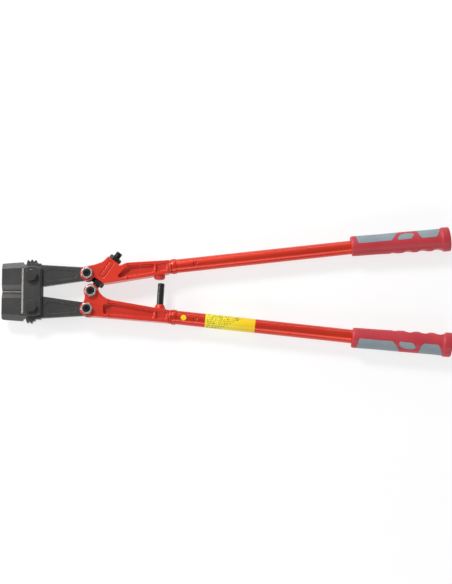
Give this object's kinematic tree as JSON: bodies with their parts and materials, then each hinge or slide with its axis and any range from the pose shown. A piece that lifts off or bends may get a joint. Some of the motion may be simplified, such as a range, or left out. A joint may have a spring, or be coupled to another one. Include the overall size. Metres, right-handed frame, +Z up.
{
  "type": "bolt cutters",
  "caption": "Hand bolt cutters: straight forged jaws tied by a pair of straps, long tube handles with rubber grips, stop peg and screw adjuster.",
  "frame": {"origin": "on the axis of the handle pivot, at the flat face of its screw head, on which the tool lies", "axes": "+X from the pivot towards the grips, +Z up from the face that it lies on, +Y towards the handle with the adjusting screw"},
  "size_m": [0.7642, 0.2224, 0.0426],
  "materials": {
    "forged_steel": "drop-forged steel with a dark grey phosphate finish, lighter at the edges",
    "strap_bolts": "dark phosphated steel bolt heads",
    "black_oxide": "black oxide steel, slightly oily",
    "zinc_plate": "bright zinc plate",
    "red_enamel": "glossy orange-red enamel over steel",
    "grip_rubber": "crimson moulded rubber, satin",
    "grip_inlay": "blue-grey soft rubber, matt",
    "label_film": "yellow printed film"
  },
  "bodies": {
    "lower_handle": {"lower_handle_head": "red_enamel", "lower_tube": "red_enamel", "lower_collar": "red_enamel", "lower_tube_pin": "red_enamel", "lower_grip": "grip_rubber", "lower_grip_rear_inlay": "grip_inlay", "lower_grip_middle_inlay_front": "grip_inlay", "lower_grip_middle_inlay_back": "grip_inlay", "lower_grip_front_inlay": "grip_inlay", "tube_label": "label_film", "round_sticker": "label_film", "stop_peg": "black_oxide", "handle_pivot_screw": "black_oxide", "handle_pivot_nut": "zinc_plate", "lower_jaw_screw": "black_oxide", "lower_jaw_nut": "zinc_plate"},
    "adjuster": {"adjusting_eyebolt": "black_oxide"},
    "upper_handle": {"upper_handle_head": "red_enamel", "upper_tube": "red_enamel", "upper_collar": "red_enamel", "upper_tube_pin": "red_enamel", "upper_grip": "grip_rubber", "upper_grip_rear_inlay": "grip_inlay", "upper_grip_middle_inlay_front": "grip_inlay", "upper_grip_middle_inlay_back": "grip_inlay", "upper_grip_front_inlay": "grip_inlay", "upper_jaw_screw": "black_oxide", "upper_jaw_nut": "zinc_plate"},
    "upper_jaw_body": {"upper_jaw": "forged_steel"},
    "lower_jaw_body": {"lower_jaw": "forged_steel"},
    "straps": {"front_strap": "forged_steel", "back_strap": "forged_steel", "upper_strap_bolt": "strap_bolts", "lower_strap_bolt": "strap_bolts", "upper_strap_nut": "black_oxide", "lower_strap_nut": "black_oxide"},
    "adjusting_nut_body": {"adjusting_nut": "black_oxide"},
    "lock_nut_body": {"lock_nut": "black_oxide"}
  },
  "joints": [
    {"name": "handle_pivot", "type": "hinge", "parent": "lower_handle", "child": "adjuster", "pos_m": [0, 0, 0.021], "axis": [0, 0, 1], "range_deg": [-1.6, 80]},
    {"name": "adjuster_slide", "type": "slide", "parent": "adjuster", "child": "upper_handle", "axis": [0.585, 0.8111, 0], "range_m": [0, 0.0018]},
    {"name": "upper_jaw_pivot", "type": "hinge", "parent": "upper_handle", "child": "upper_jaw_body", "pos_m": [-0.0064, 0.0303, 0.021], "axis": [0, 0, 1], "range_deg": [-46.3, 1.1]},
    {"name": "lower_jaw_pivot", "type": "hinge", "parent": "lower_handle", "child": "lower_jaw_body", "pos_m": [-0.0064, -0.0303, 0.021], "axis": [0, 0, 1], "range_deg": [-1.1, 46.3]},
    {"name": "strap_pivot", "type": "hinge", "parent": "lower_jaw_body", "child": "straps", "pos_m": [-0.10091, -0.02625, 0.021], "axis": [0, 0, 1], "range_deg": [-6.3, 0.3]},
    {"name": "adjusting_nut_turn", "type": "hinge", "parent": "upper_handle", "child": "adjusting_nut_body", "pos_m": [0.01088, 0.01508, 0.021], "axis": [0.585, 0.8111, 0], "range_deg": [-1, 372]},
    {"name": "lock_nut_turn", "type": "hinge", "parent": "upper_handle", "child": "lock_nut_body", "pos_m": [0.04029, 0.05587, 0.021], "axis": [0.585, 0.8111, 0], "range_deg": [-1, 372]}
  ],
  "couplings": [
    {"joint": "upper_jaw_pivot", "follows": "handle_pivot", "ratio": -0.5765},
    {"joint": "lower_jaw_pivot", "follows": "handle_pivot", "ratio": 0.5765},
    {"joint": "strap_pivot", "follows": "handle_pivot", "ratio": -0.0765},
    {"joint": "adjusting_nut_turn", "follows": "adjuster_slide", "rad_per_m": 3590.4},
    {"joint": "lock_nut_turn", "follows": "adjuster_slide", "rad_per_m": 3590.4}
  ]
}
